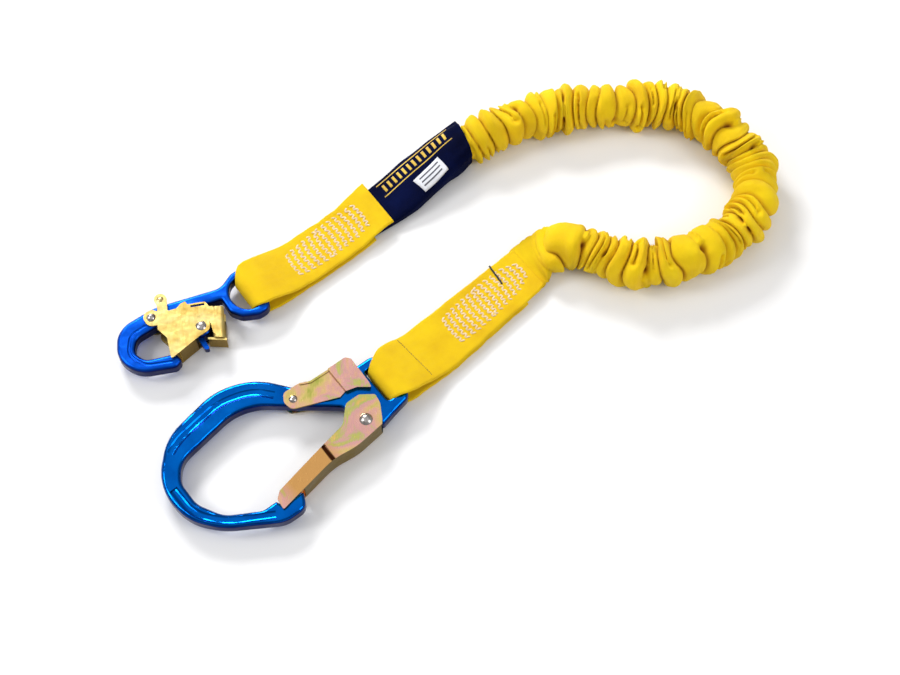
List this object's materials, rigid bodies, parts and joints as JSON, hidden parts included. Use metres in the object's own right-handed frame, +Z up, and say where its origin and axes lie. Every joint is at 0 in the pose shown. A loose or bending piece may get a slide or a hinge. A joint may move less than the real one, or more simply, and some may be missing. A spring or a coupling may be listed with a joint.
{
  "type": "shock absorbing lanyard",
  "caption": "Elastic shock absorbing lanyard with a small snap hook and a large rebar hook, each with a gate and a squeeze lock, sewn into yellow webbing.",
  "frame": {"origin": "middle of the bottom of the box round the hooks, straps and cover, without the scrunched jacket, on the surface it lies on", "axes": "+Z up from the surface the lanyard lies on; the hooks point towards -X and -Y, and the jacket bends round at +X"},
  "size_m": [0.605, 0.4545, 0.0421],
  "materials": {
    "snap_blue": "satin enamel over forged steel",
    "rebar_blue": "glossy blue anodised forging",
    "gold_zinc": "pale gold passivated zinc plate",
    "iridescent_zinc": "yellow, pink and green passivated zinc plate",
    "rivet_steel": "polished domed rivet",
    "pin_steel": "dull riveted pin",
    "spring_steel": "drawn spring wire",
    "yellow_webbing": "woven polyester webbing",
    "core_yarn": "elastic and drawn yarn bundle",
    "navy_cover": "navy woven sleeve",
    "label_white": "woven label"
  },
  "bodies": {
    "webbing": {"snap_strap_loop": "yellow_webbing", "rebar_strap_loop": "yellow_webbing", "snap_wear_pad": "yellow_webbing", "rebar_wear_pad": "yellow_webbing", "absorber_cover": "navy_cover", "cover_label": "label_white", "snap_core_end": "core_yarn", "rebar_core_end": "core_yarn", "elastic_jacket": "yellow_webbing", "elastic_core": "core_yarn"},
    "snap_hook": {"snap_hook_body": "snap_blue", "snap_gate_spring": "spring_steel", "snap_lock_spring": "spring_steel"},
    "snap_gate_unit": {"snap_gate": "gold_zinc", "snap_gate_rivet": "rivet_steel", "snap_gate_cross_pin": "pin_steel"},
    "snap_lock_unit": {"snap_lock_lever": "gold_zinc", "snap_lock_rivet": "rivet_steel"},
    "rebar_hook": {"rebar_hook_body": "rebar_blue", "rebar_gate_spring": "spring_steel", "rebar_lock_spring": "spring_steel"},
    "rebar_gate_unit": {"rebar_gate": "iridescent_zinc", "rebar_gate_rivet": "rivet_steel"},
    "rebar_lock_unit": {"rebar_lock_lever": "iridescent_zinc", "rebar_lock_rivet": "rivet_steel"}
  },
  "joints": [
    {"name": "snap_hook_swing", "type": "hinge", "parent": "webbing", "child": "snap_hook", "pos_m": [-0.0723, 0.02659, 0.0125], "axis": [-0.5878, 0.809, 0], "range_deg": [-90, 110]},
    {"name": "snap_gate_hinge", "type": "hinge", "parent": "snap_hook", "child": "snap_gate_unit", "pos_m": [-0.11522, -0.01387, 0.0125], "axis": [0, 0, 1], "range_deg": [-32, 0], "stiffness_Nm_per_rad": 0.15, "springref_deg": 11.46},
    {"name": "snap_lock_hinge", "type": "hinge", "parent": "snap_hook", "child": "snap_lock_unit", "pos_m": [-0.16098, -0.00447, 0.0125], "axis": [0, 0, 1], "range_deg": [0, 7], "stiffness_Nm_per_rad": 0.3, "springref_deg": -11.46},
    {"name": "rebar_hook_swing", "type": "hinge", "parent": "webbing", "child": "rebar_hook", "pos_m": [0.0508, -0.06321, 0.0125], "axis": [-0.6157, 0.788, 0], "range_deg": [-90, 110]},
    {"name": "rebar_gate_hinge", "type": "hinge", "parent": "rebar_hook", "child": "rebar_gate_unit", "pos_m": [0.03423, -0.10535, 0.0125], "axis": [0, 0, 1], "range_deg": [-35, 0], "stiffness_Nm_per_rad": 0.3, "springref_deg": 11.46},
    {"name": "rebar_lock_hinge", "type": "hinge", "parent": "rebar_hook", "child": "rebar_lock_unit", "pos_m": [-0.02997, -0.08571, 0.0125], "axis": [0, 0, 1], "range_deg": [-5, 0], "stiffness_Nm_per_rad": 0.4, "springref_deg": 11.46}
  ]
}
